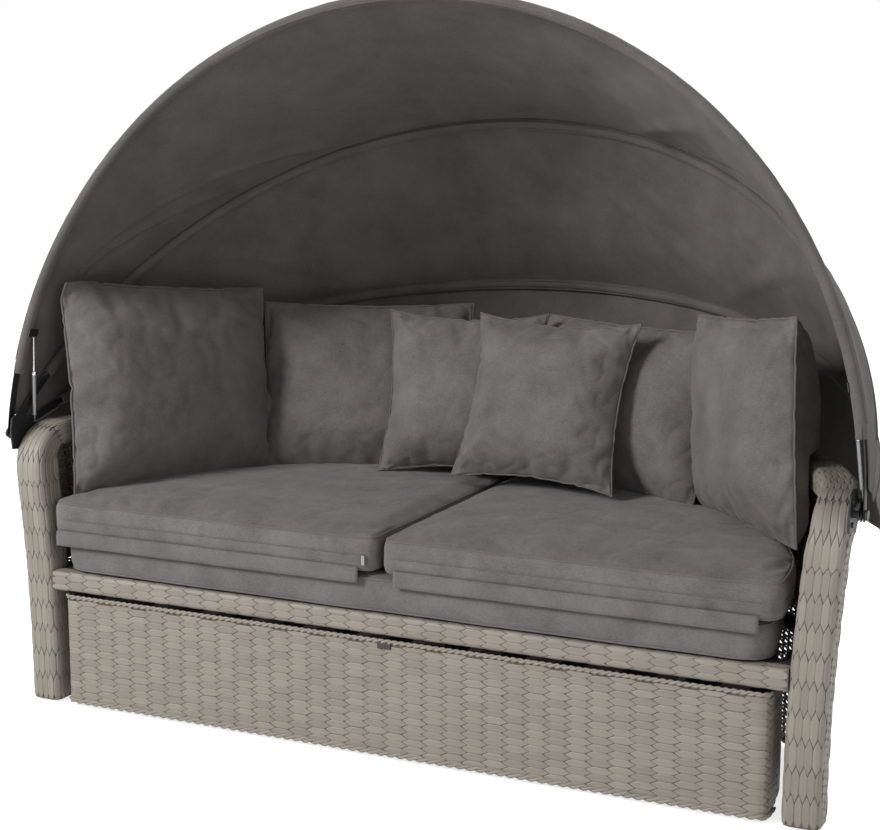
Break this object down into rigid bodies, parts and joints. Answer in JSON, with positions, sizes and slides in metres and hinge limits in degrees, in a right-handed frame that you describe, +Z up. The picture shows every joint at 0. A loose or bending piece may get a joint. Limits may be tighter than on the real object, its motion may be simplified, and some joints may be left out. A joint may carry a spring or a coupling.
{
  "type": "outdoor daybed with canopy",
  "caption": "Half-round woven daybed with seat cushions, loose pillows, a folding canopy on hoops with gas struts, and a footstool stored under the seat.",
  "frame": {"origin": "on the floor under the middle of the whole piece", "axes": "+X to the right of someone facing the seat from the front, +Y to the back, +Z up"},
  "size_m": [2.1348, 1.0564, 1.7283],
  "materials": {
    "wicker": "woven flat plastic strands, light grey-beige",
    "cushion_cloth": "matt woven cloth, mid grey",
    "canopy_cloth": "matt outdoor cloth, dark grey",
    "hoop_tube": "black coated tube",
    "frame_tube": "dark grey coated tube",
    "black_metal": "black coat",
    "rod_steel": "bright rod",
    "zip_metal": "bright pull",
    "dark_plastic": "dark moulded plastic"
  },
  "bodies": {
    "daybed": {"left_arm": "wicker", "right_arm": "wicker", "back_rail": "wicker", "left_side_wall": "wicker", "right_side_wall": "wicker", "back_wall": "wicker", "rear_post_1": "frame_tube", "rear_post_2": "frame_tube", "rear_post_3": "frame_tube", "rear_glide_1": "dark_plastic", "rear_glide_2": "dark_plastic", "rear_glide_3": "dark_plastic", "left_leg_glide": "dark_plastic", "right_leg_glide": "dark_plastic", "front_rail": "wicker", "seat_frame": "frame_tube", "base_pad": "cushion_cloth", "left_seat_cushion": "cushion_cloth", "right_seat_cushion": "cushion_cloth", "left_seat_flap": "cushion_cloth", "right_seat_flap": "cushion_cloth", "zip_pull": "zip_metal", "left_side_cushion": "cushion_cloth", "back_left_cushion": "cushion_cloth", "back_right_cushion": "cushion_cloth", "right_side_cushion": "cushion_cloth", "throw_pillow_1": "cushion_cloth", "throw_pillow_2": "cushion_cloth", "left_hinge_bracket": "black_metal", "right_hinge_bracket": "black_metal", "left_pivot_bolt": "black_metal", "right_pivot_bolt": "black_metal"},
    "rear_bow": {"rear_hoop": "hoop_tube", "canopy_skirt": "canopy_cloth"},
    "middle_bow": {"middle_hoop": "hoop_tube", "canopy_rear_panel": "canopy_cloth"},
    "front_bow": {"front_hoop": "hoop_tube", "left_strut_mount": "black_metal", "right_strut_mount": "black_metal", "canopy_front_panel": "canopy_cloth"},
    "left_strut_tube": {"left_strut_tube": "black_metal"},
    "right_strut_tube": {"right_strut_tube": "black_metal"},
    "left_strut_rod": {"left_strut_rod": "rod_steel"},
    "right_strut_rod": {"right_strut_rod": "rod_steel"},
    "footstool": {"footstool_front_panel": "wicker", "footstool_wall": "wicker", "footstool_frame": "frame_tube", "footstool_pull_tab": "dark_plastic", "footstool_post_1": "frame_tube", "footstool_post_2": "frame_tube", "footstool_post_3": "frame_tube", "footstool_post_4": "frame_tube", "footstool_glide_1": "dark_plastic", "footstool_glide_2": "dark_plastic", "footstool_glide_3": "dark_plastic", "footstool_glide_4": "dark_plastic"}
  },
  "joints": [
    {"name": "canopy_fold", "type": "hinge", "parent": "daybed", "child": "rear_bow", "pos_m": [0, -0.48782, 0.671], "axis": [-1, 0, 0], "range_deg": [0, 18], "deforming": ["canopy_skirt"]},
    {"name": "middle_fold", "type": "hinge", "parent": "rear_bow", "child": "middle_bow", "pos_m": [0, -0.48782, 0.671], "axis": [-1, 0, 0], "range_deg": [0, 19.6], "deforming": ["canopy_rear_panel"]},
    {"name": "front_fold", "type": "hinge", "parent": "middle_bow", "child": "front_bow", "pos_m": [0, -0.48782, 0.671], "axis": [-1, 0, 0], "range_deg": [0, 26.6], "deforming": ["canopy_front_panel"]},
    {"name": "left_strut_swing", "type": "hinge", "parent": "daybed", "child": "left_strut_tube", "pos_m": [-1.0419, -0.41482, 0.68], "axis": [-1, 0, 0], "range_deg": [0, 78]},
    {"name": "left_strut_slide", "type": "slide", "parent": "left_strut_tube", "child": "left_strut_rod", "axis": [-0.0948, 0.0855, -0.9918], "range_m": [0, 0.0597]},
    {"name": "right_strut_swing", "type": "hinge", "parent": "daybed", "child": "right_strut_tube", "pos_m": [1.0419, -0.41482, 0.68], "axis": [-1, 0, 0], "range_deg": [0, 78]},
    {"name": "right_strut_slide", "type": "slide", "parent": "right_strut_tube", "child": "right_strut_rod", "axis": [0.0948, 0.0855, -0.9918], "range_m": [0, 0.0597]},
    {"name": "footstool_slide", "type": "slide", "parent": "daybed", "child": "footstool", "axis": [0, -1, 0], "range_m": [0, 0.75]}
  ],
  "couplings": [
    {"joint": "middle_fold", "follows": "canopy_fold", "ratio": 1.0833},
    {"joint": "front_fold", "follows": "canopy_fold", "ratio": 1.4722},
    {"joint": "left_strut_swing", "follows": "canopy_fold", "ratio": 4.326},
    {"joint": "left_strut_slide", "follows": "canopy_fold", "m_per_rad": 0.1894},
    {"joint": "right_strut_swing", "follows": "canopy_fold", "ratio": 4.326},
    {"joint": "right_strut_slide", "follows": "canopy_fold", "m_per_rad": 0.1894}
  ]
}
